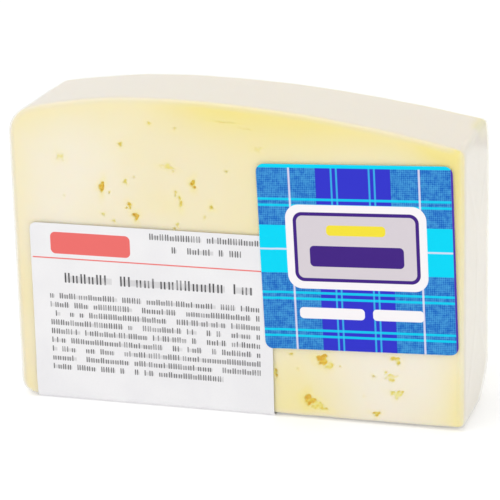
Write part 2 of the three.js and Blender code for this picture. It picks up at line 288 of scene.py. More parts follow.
def shaped(v, grow):
    """The turned-up toe, the facet and the worn edge, on vertices in the slice's own frame."""
    x, y, z = v.T.copy()
    low = np.clip(1 - z / TOE_HEIGHT, 0, 1)
    toe = np.clip(1 - (HALF_WIDTH - x) / TOE_REACH, 0, 1)
    z = z + TOE_LIFT * (toe * low) ** 2 + rear_rise(x, y, z)

    normal, distance = facet_plane()
    past = np.stack([x, y, z], 1) @ normal - distance - grow
    push = np.where(past > -2, FACET_SOFT * np.logaddexp(0, past / FACET_SOFT), 0)
    x, y, z = (np.stack([x, y, z], 1) - push[:, None] * normal).T

    from_back = WORN_RADIUS - WORN_PAST_BACK
    wide = math.hypot(WORN_RADIUS, from_back)
    share = (x - (HALF_WIDTH - WORN_REACH)) / WORN_REACH
    limit = wide + (WORN_RADIUS - wide) * share + grow
    dy, dz = y - (HALF_THICKNESS - from_back), z - WORN_RADIUS
    r = np.hypot(dy, dz)
    quarter = (dy > 0) & (dz < 0) & (share > -0.1)
    over = np.where(quarter, np.maximum(r - limit, 0), 0)
    scale = 1 - over / np.maximum(r, 1e-6)
    y = np.where(quarter, y - dy * (1 - scale), y)
    z = np.where(quarter, z - dz * (1 - scale), z)
    return np.stack([x, y, z], 1)


def waves(seed, size, count=28):
    """Smooth noise from seeded plane waves about size long. Its values lie roughly in -2 to 2."""
    rng = np.random.default_rng(seed)
    direction = rng.normal(size=(count, 3))
    direction /= np.linalg.norm(direction, axis=1)[:, None]
    pitch = direction * (2 * math.pi / (size * rng.uniform(0.7, 1.6, count)))[:, None]
    phase = rng.uniform(0, 2 * math.pi, count)

    def value(p):
        total = np.zeros(len(p))
        for k in range(count):
            total += np.sin(p @ pitch[k] + phase[k])
        return total / math.sqrt(count)

    return value


def shade_smooth(mesh):
    mesh.polygons.foreach_set("use_smooth", [True] * len(mesh.polygons))


def make_object(name, verts, quads, smooth=True):
    """A mesh object from vertices in millimetres in the frame's own axes."""
    mesh = bpy.data.meshes.new(name)
    mesh.from_pydata((np.asarray(verts) * MM).tolist(), [], [list(map(int, q)) for q in quads])
    mesh.validate()
    mesh.update()
    obj = bpy.data.objects.new(name, mesh)
    bpy.context.scene.collection.objects.link(obj)
    if smooth:
        shade_smooth(mesh)
    return obj


def vertices_of(obj):
    flat = np.empty(len(obj.data.vertices) * 3)
    obj.data.vertices.foreach_get("co", flat)
    return flat.reshape(-1, 3) / MM


def move_vertices(obj, verts):
    obj.data.vertices.foreach_set("co", (verts * MM).ravel())
    obj.data.update()


def put_attribute(obj, name, values):
    kind = "FLOAT" if values.ndim == 1 else "FLOAT_VECTOR"
    field = "value" if values.ndim == 1 else "vector"
    layer = obj.data.attributes.new(name, kind, "POINT")
    layer.data.foreach_set(field, np.ascontiguousarray(values, dtype=np.float32).ravel())


# Materials. Colours are given as they look on a screen.


def linear(red, green, blue):
    channels = []
    for c in (red / 255, green / 255, blue / 255):
        channels.append(c / 12.92 if c <= 0.04045 else ((c + 0.055) / 1.055) ** 2.4)
    return (*channels, 1.0)


class Paint:
    """Short names for the nodes of one material."""

    def __init__(self, name):
        self.material = bpy.data.materials.new(name)
        self.material.use_nodes = True
        self.tree = self.material.node_tree
        self.tree.nodes.clear()
        self.output = self.tree.nodes.new("ShaderNodeOutputMaterial")

    def put(self, socket, value):
        if isinstance(value, bpy.types.NodeSocket):
            self.tree.links.new(value, socket)
        elif value is not None:
            socket.default_value = value

    def node(self, kind, **settings):
        made = self.tree.nodes.new(kind)
        for key, value in settings.items():
            setattr(made, key, value)
        return made

    def math(self, operation, *values, clamp=False):
        made = self.node("ShaderNodeMath", operation=operation, use_clamp=clamp)
        for socket, value in zip(made.inputs, values):
            self.put(socket, value)
        return made.outputs[0]

    def mix(self, factor, a, b):
        made = self.node("ShaderNodeMix", data_type="RGBA")
        self.put(made.inputs["Factor"], factor)
        # Inputs 6 and 7 and output 2 are the node's colours.
        self.put(made.inputs[6], a)
        self.put(made.inputs[7], b)
        return made.outputs[2]

    def mix_shader(self, factor, a, b):
        made = self.node("ShaderNodeMixShader")
        for socket, value in zip(made.inputs, (factor, a, b)):
            self.put(socket, value)
        return made.outputs[0]

    def ramp(self, value, lo, hi, out_lo=0.0, out_hi=1.0):
        """From out_lo to out_hi, smoothly, as value goes from lo to hi."""
        made = self.node("ShaderNodeMapRange", interpolation_type="SMOOTHSTEP")
        names = ("Value", "From Min", "From Max", "To Min", "To Max")
        for name, given in zip(names, (value, lo, hi, out_lo, out_hi)):
            self.put(made.inputs[name], given)
        return made.outputs[0]

    def inverse(self, mask):
        return self.math("SUBTRACT", 1.0, mask)

    def attribute(self, name, output="Fac"):
        return self.node("ShaderNodeAttribute", attribute_name=name).outputs[output]

    def noise(self, vector, size_mm, detail=2.0, roughness=0.5):
        made = self.node("ShaderNodeTexNoise")
        self.put(made.inputs["Vector"], vector)
        made.inputs["Scale"].default_value = 1 / (size_mm * MM)
        made.inputs["Detail"].default_value = detail
        made.inputs["Roughness"].default_value = roughness
        return made.outputs["Fac"]

    def place(self):
        return self.node("ShaderNodeTexCoord").outputs["Object"]

    def bump(self, height, strength, distance_mm, normal=None):
        made = self.node("ShaderNodeBump")
        self.put(made.inputs["Height"], height)
        made.inputs["Strength"].default_value = strength
        made.inputs["Distance"].default_value = distance_mm * MM
        self.put(made.inputs["Normal"], normal)
        return made.outputs["Normal"]

    def principled(self, **values):
        made = self.node("ShaderNodeBsdfPrincipled")
        for key, value in values.items():
            self.put(made.inputs[key.replace("_", " ")], value)
        self.tree.links.new(made.outputs[0], self.output.inputs["Surface"])
        return made


# Cheese: a translucent cream body, yellower towards the edges of the cut faces, with a paler rind that is
# partly its own colour and partly painted reflection of the wrap.

CREAM = linear(243, 233, 212)
PALE_CREAM = linear(246, 238, 222)
BUTTER = linear(244, 229, 142)
GRAIN = linear(225, 205, 160)
RIND_AND_SHEEN = linear(233, 224, 208)
PALE_RIND_AND_SHEEN = linear(239, 232, 221)
RIND_SPECK = linear(205, 190, 150)
FACET_PAINTED_SHADE = linear(206, 188, 166)
STREAK_TINT = linear(228, 220, 158)
EYE_RIM_GLOW = linear(236, 224, 106)
EYE_AMBER = linear(238, 210, 36)
EYE_DEEP = linear(232, 184, 0)


def cheese_material():
    p = Paint("cheese_body")
    place = p.place()
    cloud = p.noise(place, 16, 3.0)
    fine = p.noise(place, 1.1, 3.0, 0.6)
    grain = p.noise(place, 0.35, 2.0, 0.6)
    broad = p.noise(place, 45, 1.0)
    body = p.mix(p.ramp(broad, 0.35, 0.65), CREAM, PALE_CREAM)
    yellow = p.math("ADD", p.attribute("yellow"), p.math("MULTIPLY_ADD", cloud, 0.3, -0.15), clamp=True)
    body = p.mix(yellow, body, BUTTER)
    # The rind's pale colours are partly its own and partly painted reflection of the wrap's sheen.
    rind = p.mix(p.ramp(fine, 0.3, 0.7, 0.0, 0.35), RIND_AND_SHEEN, PALE_RIND_AND_SHEEN)
    # Painted shade on the facet, as where it turns away from the light.
    rind = p.mix(p.attribute("facet"), rind, FACET_PAINTED_SHADE)
    rind = p.mix(p.attribute("streak"), rind, STREAK_TINT)
    body = p.mix(p.attribute("rind"), body, rind)
    speck = p.ramp(p.noise(place, 2.4, 1.0), 0.74, 0.78, 0.0, 0.4)
    body = p.mix(p.math("MULTIPLY", speck, p.attribute("rind")), body, RIND_SPECK)
    inside = p.mix(p.ramp(fine, 0.32, 0.58), EYE_AMBER, EYE_DEEP)
    deep = p.attribute("eye")
    # Painted glow: a pale rim round each eye, as of light shining through the thin paste at its edge.
    body = p.mix(p.ramp(deep, 0.05, 0.55), body, EYE_RIM_GLOW)
    body = p.mix(p.ramp(deep, 0.35, 0.8), body, inside)
    body = p.mix(p.ramp(grain, 0.3, 0.7, 0.0, 0.06), body, GRAIN)
    # The rind is smoother than the paste.
    uneven = p.math("MULTIPLY_ADD", p.attribute("rind"), -0.75, 1.0)
    normal = p.bump(p.math("MULTIPLY", fine, uneven), 0.22, 0.12)
    normal = p.bump(p.math("MULTIPLY", grain, uneven), 0.12, 0.05, normal)
    shader = p.principled(
        Base_Color=body,
        Roughness=p.ramp(fine, 0.3, 0.7, 0.42, 0.58),
        Normal=normal,
        Subsurface_Weight=0.25,
        Subsurface_Radius=(1.0, 0.72, 0.38),
        Subsurface_Scale=1.6 * MM,
        Specular_IOR_Level=0.25,
    )
    shader.inputs["IOR"].default_value = 1.45
    return p.material


# Eyes as across, up, width, height, tilt in degrees and depth, in the slice's own frame.
FRONT_EYES = [
    (-40.8, 58.0, 2.5, 2.0, 10, 0.35),
    (-31.0, 51.4, 1.6, 2.7, -8, 1.0),
    (-26.0, 61.6, 1.3, 1.2, 0, 0.6),
    (-25.2, 53.0, 1.1, 1.3, 0, 0.6),
    (-24.3, 47.5, 1.3, 1.8, 20, 0.7),
    (-22.9, 45.0, 1.8, 1.7, 0, 1.0),
    (-14.9, 57.0, 3.0, 1.5, -12, 0.45),
    (-12.1, 48.8, 1.0, 2.8, 5, 0.6),
    (-13.2, 50.9, 0.8, 1.4, 0, 0.5),
    (-9.0, 53.2, 1.5, 2.1, 0, 1.0),
    (-4.8, 48.0, 1.3, 1.2, 0, 0.6),
    (-19.0, 66.8, 1.1, 0.8, 0, 0.6),
    (-12.9, 65.9, 0.7, 0.8, 0, 0.4),
    (-13.0, 43.4, 0.8, 1.4, 0, 0.4),
    (-1.2, 67.9, 5.0, 0.3, -3, 0.3),
    (3.6, 66.6, 3.4, 0.25, -8, 0.25),
    (6.5, 62.0, 1.6, 1.2, 20, 0.35),
    (20.5, 13.9, 2.6, 3.4, 20, 1.0),
    (22.2, 12.6, 2.6, 1.8, 40, 0.5),
    (13.2, 14.6, 1.1, 0.8, 0, 0.5),
    (9.5, 9.8, 1.0, 2.2, 0, 0.7),
    (17.3, 3.9, 2.6, 3.0, -20, 0.95),
    (19.6, 2.6, 4.4, 2.2, -14, 0.5),
    (33.1, 1.9, 2.1, 1.2, 10, 0.7),
    (32.5, 10.8, 0.9, 0.8, 0, 0.8),
    (36.5, 10.8, 3.2, 1.7, 8, 0.45),
    (37.5, 15.2, 2.7, 1.8, -25, 0.6),
    (37.8, 7.0, 3.0, 2.2, 12, 0.5),
]
BACK_EYES = [
    (-38.0, 20.0, 2.4, 1.9, 12, 0.8),
    (-33.0, 47.0, 1.5, 2.4, -10, 1.0),
    (-27.0, 12.0, 2.9, 2.2, 6, 0.6),
    (-19.0, 58.0, 1.4, 1.3, 0, 0.8),
    (-14.0, 34.0, 2.1, 3.0, 18, 0.9),
    (-3.0, 22.0, 1.6, 1.4, 0, 0.7),
    (4.0, 50.0, 2.7, 1.6, -14, 0.5),
    (12.0, 9.0, 1.8, 2.5, 5, 0.9),
    (19.0, 38.0, 1.3, 2.0, 0, 0.8),
    (27.0, 55.0, 2.3, 1.7, 9, 0.5),
    (34.0, 27.0, 3.0, 2.3, -7, 0.9),
    (41.0, 44.0, 1.5, 1.6, 0, 0.7),
]
SMALL_EYES = 30
EYE_DEPTH = 0.75


def all_eyes():
    """The listed eyes and small random ones, each with its side first: -1 for the front, 1 for the back."""
    rng = np.random.default_rng(SEED)
    eyes = []
    for side, listed in ((-1, FRONT_EYES), (1, BACK_EYES)):
        eyes += [(side, *eye) for eye in listed]
        for _ in range(SMALL_EYES):
            across = rng.uniform(-0.88, 0.88) * HALF_WIDTH
            up = rng.uniform(4, HEIGHT - 14)
            width = rng.uniform(0.35, 0.85)
            height = width * rng.uniform(0.7, 1.6)
            tilt, depth = rng.uniform(0, 90), rng.uniform(0.35, 0.75)
            eyes.append((side, across, up, width, height, tilt, depth))
    return eyes


def refined(obj, eyes):
    """Splits the quads round each eye, so that its pit has a crisp rim."""
    bm = bmesh.new()
    bm.from_mesh(obj.data)
    # Cuts for each edge, and the least and most size of the eyes that get them.
    for cuts, least, most in ((3, 1.0, 9.0), (2, 0.0, 1.0)):
        bm.faces.ensure_lookup_table()
        bm.edges.index_update()
        centres = np.array([tuple(f.calc_center_median()) for f in bm.faces]) / MM
        chosen = set()
        for side, across, up, width, height, _, _ in eyes:
            size = max(width, height)
            if not least <= size < most:
                continue
            near = np.hypot(centres[:, 0] - across, centres[:, 2] - BASE_Z - up) < size * 0.75 + 0.6
            near &= (centres[:, 1] - MIDDLE_Y) * side > HALF_THICKNESS - 0.4
            chosen.update(np.nonzero(near)[0])
        faces = [bm.faces[i] for i in sorted(chosen)]
        edges = sorted({e for f in faces for e in f.edges}, key=lambda e: e.index)
        bmesh.ops.subdivide_edges(bm, edges=edges, cuts=cuts, use_grid_fill=True)
    bmesh.ops.recalc_face_normals(bm, faces=bm.faces)
    bm.to_mesh(obj.data)
    bm.free()
    shade_smooth(obj.data)


def eye_field(local, eyes):
    """How deep each vertex lies in an eye, which way the pit goes in, and how strong its halo is there."""
    rng = np.random.default_rng(SEED + 1)
    deep = np.zeros(len(local))
    toward = np.zeros(len(local))
    halo = np.zeros(len(local))
    rough = waves(SEED + 2, 0.9)(local)
    for side, across, up, width, height, tilt, depth in eyes:
        # The rim swings in and out two, three and four times round the eye.
        phase = rng.uniform(0, 2 * math.pi, 3)
        swing = rng.uniform([0.05, 0.12, 0.05], [0.2, 0.3, 0.14])
        near = np.hypot(local[:, 0] - across, local[:, 2] - up) < max(width, height) * 1.2 + 1.2
        near &= local[:, 1] * side > HALF_THICKNESS - 0.3
        at = np.nonzero(near)[0]
        if not len(at):
            continue
        turn = math.radians(tilt)
        dx, dz = local[at, 0] - across, local[at, 2] - up
        u = (dx * math.cos(turn) + dz * math.sin(turn)) / (width / 2)
        v = (dz * math.cos(turn) - dx * math.sin(turn)) / (height / 2)
        angle = np.arctan2(v, u)
        reach = 1 + sum(s * np.sin((k + 2) * angle + f) for k, (s, f) in enumerate(zip(swing, phase)))
        inside = 1 - np.hypot(u, v) / (reach * (1 + 0.12 * rough[at]))
        slope = min(0.75, 0.3 / max(width, height) + 0.25)
        value = depth * smoothstep(-0.02, slope, inside) * (0.8 + 0.2 * rough[at])
        deep[at] = np.maximum(deep[at], np.clip(value, 0, 1))
        halo[at] = np.maximum(halo[at], depth * smoothstep(-1.6, 0.2, inside))
        toward[at] = -side
    return deep, toward, halo


def edge_distance(local):
    """How far each vertex lies from the slice's outline, seen from the front."""
    outline, _ = slice_runs(140, 96)
    distance = np.empty(len(local))
    batch = 4000
    for start in range(0, len(local), batch):
        part = local[start : start + batch]
        gap = np.hypot(part[:, None, 0] - outline[None, :, 0], part[:, None, 2] - outline[None, :, 1])
        distance[start : start + batch] = gap.min(1)
    return distance


def cut_share(local):
    """1 on the cut faces and 0 on the rind, blended between them, and more sharply at the right end."""
    off_middle = np.abs(local[:, 1])
    wide = smoothstep(HALF_THICKNESS - 1.5, HALF_THICKNESS - 0.1, off_middle)
    wide *= 0.4 + 0.6 * smoothstep(0.0, 1.7, edge_distance(local))
    sharp = smoothstep(HALF_THICKNESS - 1.0, HALF_THICKNESS - 0.35, off_middle)
    at_right = smoothstep(HALF_WIDTH - 4, HALF_WIDTH - 1, local[:, 0])
    return wide + at_right * (sharp - wide)


def fading(distance, reach, power=1.3):
    """1 at no distance and almost 0 past twice the reach."""
    return np.exp(-((np.clip(distance, 0, None) / reach) ** power))


def bell(value, centre, reach):
    return np.exp(-(((value - centre) / reach) ** 2))


def yellow_tone(local, halo):
    """How buttery the paste is: mostly along the edges of the cut faces, round eyes and in broad patches."""
    x, y, z = local.T
    right_radius = rind_radius(WIDTH - CROWN_FROM_LEFT, RIGHT_SHOULDER_DROP)
    left_radius = rind_radius(CROWN_FROM_LEFT, LEFT_SHOULDER_DROP)
    rind_drop = (x - CROWN_X) ** 2 / (2 * np.where(x > CROWN_X, right_radius, left_radius))
    top = 0.42 + 0.26 * smoothstep(-45, 0, x) + 0.5 * smoothstep(36, 50, x)
    top = top * fading(HEIGHT - z - rind_drop, 7.5, 1.4)
    left = 0.3 * fading(x + HALF_WIDTH, 5)
    right = 0.6 + 0.4 * smoothstep(25, 60, z) + 0.2 * smoothstep(16, 5, z)
    right = right * fading(HALF_WIDTH - x, 5)
    edges = np.maximum(top, np.maximum(left, right))
    drift = waves(SEED + 3, 26)(local)

    middle = 0.3 * bell(x, 6, 18) * (0.3 + 0.7 * smoothstep(10, 40, z))
    low = 0.42 * bell(x, 12, 9) * smoothstep(26, 4, z) + 0.15 * fading(z, 4)
    pale = 0.16 * smoothstep(14, 38, x) * smoothstep(45, 14, z)
    smear = 0.16 * bell(x, -16, 7) * bell(z, 48, 3.5)
    front = 0.1 + edges + middle + low + smear - pale + 0.07 * drift
    back = 0.15 + edges + 0.1 * drift
    return np.clip(np.where(y < 0, front, back) + 0.35 * halo, 0, 1)


def facet_shade_share(local):
    """Where painted shade darkens the facet: on it, towards the back and below the shoulder."""
    y, z = local[:, 1], local[:, 2]
    normal, distance = facet_plane()
    back = np.clip((y + HALF_THICKNESS) / THICKNESS, 0, 1)
    shoulder = HEIGHT - RIGHT_SHOULDER_DROP + REAR_RISE_RIGHT * back
    on_facet = smoothstep(-0.16, -0.04, local @ normal - distance) * smoothstep(-8, -4, y)
    return on_facet * smoothstep(0.3, 1.5, shoulder - z)


def streak_share(local):
    """A yellowish streak along the upper right edge of the rind, in its back half."""
    x, y, z = local.T
    beside = np.hypot(x - (HALF_WIDTH - 1.2), (z - (HEIGHT - RIGHT_SHOULDER_DROP)) * 0.5)
    return 0.7 * smoothstep(2.2, 0.6, beside) * smoothstep(2, 7, y)


def make_cheese():
    verts, quads = slice_skin(0.0, CHEESE_STEP, CHEESE_DEPTH_STEP)
    obj = make_object("cheese_slice", verts + [0, MIDDLE_Y, BASE_Z], quads)
    eyes = all_eyes()
    refined(obj, eyes)
    world = vertices_of(obj)
    local = world - [0, MIDDLE_Y, BASE_Z]
    deep, toward, halo = eye_field(local, eyes)
    put_attribute(obj, "yellow", yellow_tone(local, halo))
    put_attribute(obj, "rind", 1 - cut_share(local))
    # The facet attribute holds where painted shade darkens the facet.
    put_attribute(obj, "facet", facet_shade_share(local))
    put_attribute(obj, "streak", streak_share(local))
    put_attribute(obj, "eye", deep)

    world[:, 1] += deep * toward * EYE_DEPTH
    # The rind and the cut faces are not quite even.
    uneven = waves(SEED + 4, 9)(local)
    inward = np.array([0, 0, HEIGHT / 2]) - local
    inward /= np.linalg.norm(inward, axis=1)[:, None]
    world += inward * (0.06 + 0.05 * np.clip(uneven, -1, 1))[:, None]
    move_vertices(obj, world)
    obj.data.materials.append(cheese_material())
    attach(obj, "root")
    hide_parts("cheese")


# Film: a thin closed skin with gathers and folds, clear except for its reflections.


def film_folds():
    """Creases as start, end, height and width, over the back, the two ends and the rind."""
    rng = np.random.default_rng(SEED + 7)
    folds = []
    w, t = HALF_WIDTH + FILM_OUT, HALF_THICKNESS + FILM_OUT
    # Gathers that fan out from the lower back corners and the upper left one, over the back face.
    fans = ((-w, 0, (10, 82), 9), (w - 4, 3, (100, 168), 8), (-w + 3, 66, (-75, -10), 5))
    for cx, cz, (first, last), count in fans:
        for k in range(count):
            angle = math.radians(first + (last - first) * (k + rng.uniform(0.2, 0.8)) / count)
            near, far = rng.uniform(2, 6), rng.uniform(13, 30)
            a = (cx + near * math.cos(angle), t, cz + near * math.sin(angle))
            b = (cx + far * math.cos(angle), t, cz + far * math.sin(angle))
            folds.append((a, b, rng.uniform(0.12, 0.3), rng.uniform(0.45, 0.9)))
    # The tucks of the two ends: an edge from each corner to a line down the middle, and short gathers.
    for x, low, high, tuck, gathers, strength in ((-w, 2, 66, 0.22, 7, 1.0), (w, 4, 60, 0.1, 5, 0.6)):
        for y0, z0, y1, z1 in (
            (-t + 2.5, low, -1.5, low + 19),
            (t - 3, low + 2, 0.5, low + 19),
            (-t + 2, high - 2, -2, high - 15),
            (t - 3, high - 3, 1.5, high - 15),
            (-1.5, low + 19, -1, high - 15),
        ):
            folds.append(((x, y0, z0), (x, y1, z1), tuck, 0.55))
        for _ in range(gathers):
            y0, z0 = rng.uniform(-t + 3, t - 3), rng.uniform(low, high)
            end = (x, y0 + rng.uniform(-5, 5), z0 + rng.uniform(-9, 9))
            folds.append(((x, y0, z0), end, rng.uniform(0.06, 0.16) * strength, 0.5))
    # A few slack lines across the rind.
    for _ in range(6):
        x0 = rng.uniform(-40, 40)
        end = (x0 + rng.uniform(-6, 6), 10, HEIGHT - 2)
        folds.append(((x0, -8, HEIGHT - 2), end, 0.06, 0.6))
    return folds


def fold_height(local, folds):
    """How far the creases lift each point off the skin."""
    height = np.zeros(len(local))
    for a, b, tall, wide in folds:
        a, b = np.array(a), np.array(b)
        run = b - a
        along = np.clip((local - a) @ run / (run @ run), 0, 1)
        gap = np.linalg.norm(local - a - along[:, None] * run, axis=1)
        taper = np.sin(np.pi * np.clip(along * 0.86 + 0.07, 0, 1)) ** 0.6
        height = np.maximum(height, tall * taper * np.exp(-((gap / wide) ** 2)))
    return height


def film_material():
    p = Paint("clear_wrap")
    place = p.place()
    facing = p.node("ShaderNodeLayerWeight").outputs["Facing"]
    gleam = p.math("MULTIPLY_ADD", p.math("POWER", facing, 5.0), 0.48, 0.02)
    ripple = p.noise(place, 7, 2.0)
    fine = p.noise(place, 1.5, 2.0)
    normal = p.bump(ripple, 0.15, 0.35)
    normal = p.bump(fine, 0.05, 0.05, normal)
    gloss = p.node("ShaderNodeBsdfGlossy", distribution="GGX")
    gloss.inputs["Color"].default_value = (0.97, 0.97, 0.97, 1)
    p.put(gloss.inputs["Roughness"], p.ramp(fine, 0.3, 0.7, 0.05, 0.12))
    p.put(gloss.inputs["Normal"], normal)
    clear = p.node("ShaderNodeBsdfTransparent")
    clear.inputs["Color"].default_value = (0.995, 0.995, 0.99, 1)
    haze = p.node("ShaderNodeBsdfDiffuse")
    haze.inputs["Color"].default_value = linear(250, 250, 247)
    # The film is milky in its creases and where it lies in several layers over the ends.
    creased = p.ramp(p.attribute("fold"), 0.1, 1.0, 0.004, 0.16)
    milky = p.math("MULTIPLY_ADD", p.attribute("layers"), 0.18, creased)
    skin = p.mix_shader(milky, clear.outputs[0], haze.outputs[0])
    p.put(p.output.inputs["Surface"], p.mix_shader(gleam, skin, gloss.outputs[0]))
    return p.material


def make_film():
    outer, quads = slice_skin(FILM_OUT, FILM_STEP, FILM_STEP)
    inner, _ = slice_skin(FILM_IN, FILM_STEP, FILM_STEP)
    out = outer - inner
    out /= np.maximum(np.linalg.norm(out, axis=1), 1e-9)[:, None]
    height = fold_height(outer, film_folds())
    slack = 0.04 * np.clip(waves(SEED + 5, 14)(outer), 0, 1)
    # The labelled face and the base stay flat.
    on_front = smoothstep(-HALF_THICKNESS + 1.2, -HALF_THICKNESS + 0.2, outer[:, 1])
    on_base = smoothstep(1.2, 0.0, outer[:, 2])
    lift = ((height + slack) * (1 - on_front) * (1 - on_base))[:, None] * out
    count = len(outer)
    verts = np.concatenate([outer + lift, inner + lift]) + [0, MIDDLE_Y, BASE_Z]
    faces = np.concatenate([quads, quads[:, ::-1] + count])
    obj = make_object("film_wrap_skin", verts, faces)
    put_attribute(obj, "fold", np.tile(height / 0.25 * (1 - on_front), 2))
    ends = smoothstep(HALF_WIDTH - 1.5, HALF_WIDTH - 0.2, np.abs(outer[:, 0]))
    put_attribute(obj, "layers", np.tile(ends, 2))
    obj.data.materials.append(film_material())
    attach(obj, "root")
    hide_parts("film_wrap")


# Stickers: thin sheets with round corners, laid out in their own flat plane and then bent into place.


def oblong_ring(width, height, corner, nu, nv):
    """A round-cornered oblong from (0, 0) to (width, height) as a ring for coons()."""
    q = math.pi / 2
    far_u, far_v = width - corner, height - corner
    runs = [
        joined(
            arc(corner, corner, corner, 2.5 * q, 3 * q),
            straight(corner, 0, far_u, 0),
            arc(far_u, corner, corner, -q, -0.5 * q),
        ),
        joined(
            arc(far_u, corner, corner, -0.5 * q, 0),
            straight(width, corner, width, far_v),
            arc(far_u, far_v, corner, 0, 0.5 * q),
        ),
        joined(
            arc(far_u, far_v, corner, 0.5 * q, q),
            straight(far_u, height, corner, height),
            arc(corner, far_v, corner, q, 1.5 * q),
        ),
        joined(
            arc(corner, far_v, corner, 1.5 * q, 2 * q),
            straight(0, far_v, 0, corner),
            arc(corner, corner, corner, 2 * q, 2.5 * q),
        ),
    ]
    return np.concatenate([evenly(*run, n)[0][:-1] for run, n in zip(runs, (nu, nv, nu, nv))])


def make_sheet(name, width, height, corner, bend):
    """A closed thin sheet. bend(flat, out) puts flat points at a height out above the sheet's underside."""
    nu, nv = round(width / LABEL_STEP), round(height / LABEL_STEP)
    ring = oblong_ring(width, height, corner, nu, nv)
    count = len(ring)
    inside = coons(ring, nu, nv)[1:nu, 1:nv].reshape(-1, 2)
    flat = np.concatenate([ring, inside])
    size = len(flat)
    top = grid_quads(grid_index(nu, nv, 0, count))
    here = np.arange(count)
    ahead = (here + 1) % count
    rim = np.stack([here, ahead, ahead + size, here + size], 1)
    verts = np.concatenate([bend(flat, LABEL_WALL), bend(flat, 0.0)])
    obj = make_object(name, verts, np.concatenate([top, top[:, ::-1] + size, rim[:, ::-1]]))
    bm = bmesh.new()
    bm.from_mesh(obj.data)
    bmesh.ops.recalc_face_normals(bm, faces=bm.faces)
    bm.to_mesh(obj.data)
    bm.free()
    shade_smooth(obj.data)
    obj.data.set_sharp_from_angle(angle=math.radians(50))
    # Where each point lies on the flat sheet, from its upper left corner, and which side it is on.
    side = np.concatenate([np.ones(size), np.zeros(size)])
    put_attribute(obj, "sheet", np.column_stack([np.tile(flat, (2, 1)), side]))
    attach(obj, "root")
    return obj


PRICE_LO, PRICE_HI = (np.array(corner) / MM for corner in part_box("price_label"))
SQUARE_LO, SQUARE_HI = (np.array(corner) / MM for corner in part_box("square_label"))
FOLD_RADIUS = CUT_EDGE_RADIUS + FILM_OUT + LABEL_GAP
PRICE_CORNER = 1.5
SQUARE_WIDTH, SQUARE_HEIGHT, SQUARE_CORNER = 44.5, 43.0, 1.8
SQUARE_TILT = math.radians(2)


def make_price_label():
    width = PRICE_HI[0] - PRICE_LO[0]
    outer = FOLD_RADIUS + LABEL_WALL
    drop = PRICE_HI[2] - outer
    turn = outer * math.pi / 2
    under = PRICE_HI[1] - PRICE_LO[1] - outer
    pucker = waves(SEED + 8, 7)
    broad = waves(SEED + 9, 22)

    def bend(flat, out):
        u, v = flat.T
        angle = np.clip((v - drop) / outer, 0, math.pi / 2)
        beyond = np.clip(v - drop - turn, 0, None)
        radius = FOLD_RADIUS + out
        y = PRICE_LO[1] + outer - radius * np.cos(angle) + beyond
        z = PRICE_HI[2] - np.minimum(v, drop) - radius * np.sin(angle)
        # Soft creases where the paper begins to turn, strongest at the left, and a slight wave above them.
        level = np.zeros(len(u))
        near_fold = smoothstep(drop - 11, drop - 3, v) * smoothstep(drop + 0.6, drop - 1.5, v)
        crumple = np.clip(pucker(np.column_stack([u, v * 0.35, level])), 0, 1.4)
        crease = 0.2 * near_fold * (0.35 + 0.65 * smoothstep(30, 4, u)) * crumple
        wave = 0.05 * np.clip(broad(np.column_stack([u, v, level])), 0, 1) * smoothstep(drop, drop - 4, v)
        under_square = smoothstep(width - 7, width - 3.5, u)
        y -= (crease + wave) * (1 - under_square)
        return np.column_stack([PRICE_LO[0] + u, y, z])

    obj = make_sheet("price_label_sheet", width, drop + turn + under, PRICE_CORNER, bend)
    obj.data.materials.append(price_material())
    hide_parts("price_label")


def make_square_label():
    centre = (SQUARE_LO + SQUARE_HI) / 2
    seat = PRICE_LO[1] + LABEL_WALL

    def bend(flat, out):
        u, v = flat.T
        du, dv = u - SQUARE_WIDTH / 2, SQUARE_HEIGHT / 2 - v
        x = centre[0] + du * math.cos(SQUARE_TILT) - dv * math.sin(SQUARE_TILT)
        z = centre[2] + du * math.sin(SQUARE_TILT) + dv * math.cos(SQUARE_TILT)
        # It climbs onto the price label where the two overlap.
        left_of_edge = smoothstep(PRICE_HI[0] + 1.6, PRICE_HI[0] + 0.1, x)
        below_edge = smoothstep(PRICE_HI[2] + 1.6, PRICE_HI[2] + 0.1, z)
        y = seat - out - left_of_edge * below_edge * (LABEL_WALL + LABEL_GAP)
        return np.column_stack([x, y, z])

    obj = make_sheet("square_label_sheet", SQUARE_WIDTH, SQUARE_HEIGHT, SQUARE_CORNER, bend)
    obj.data.materials.append(square_material())
    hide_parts("square_label")


# Print. Masks are 1 inside a shape and 0 outside, with edges about as soft as ink on paper.

INK_EDGE = 0.06
LINE_EDGE = 0.09
BAND_EDGE = 0.1


def within(p, value, lo, hi, soft=INK_EDGE):
    rising = p.ramp(value, lo - soft, lo + soft)
    falling = p.ramp(value, hi - soft, hi + soft, 1.0, 0.0)
    return p.math("MULTIPLY", rising, falling)


def oblong(p, u, v, left, top, right, bottom, corner):
    """A round-cornered oblong from its signed distance."""

    def past(value, lo, hi):
        """How far a coordinate lies past the start of the corners, less than 0 between them."""
        off_middle = p.math("ABSOLUTE", p.math("SUBTRACT", value, (lo + hi) / 2))
        return p.math("SUBTRACT", off_middle, (hi - lo) / 2 - corner)

    du, dv = past(u, left, right), past(v, top, bottom)
    au, av = p.math("MAXIMUM", du, 0.0), p.math("MAXIMUM", dv, 0.0)
    outside = p.math("SQRT", p.math("ADD", p.math("MULTIPLY", au, au), p.math("MULTIPLY", av, av)))
    inside = p.math("MINIMUM", p.math("MAXIMUM", du, dv), 0.0)
    gap = p.math("SUBTRACT", p.math("ADD", outside, inside), corner)
    return p.ramp(gap, -INK_EDGE, INK_EDGE, 1.0, 0.0)


def either(p, *masks):
    total = masks[0]
    for mask in masks[1:]:
        total = p.math("MAXIMUM", total, mask)
    return total


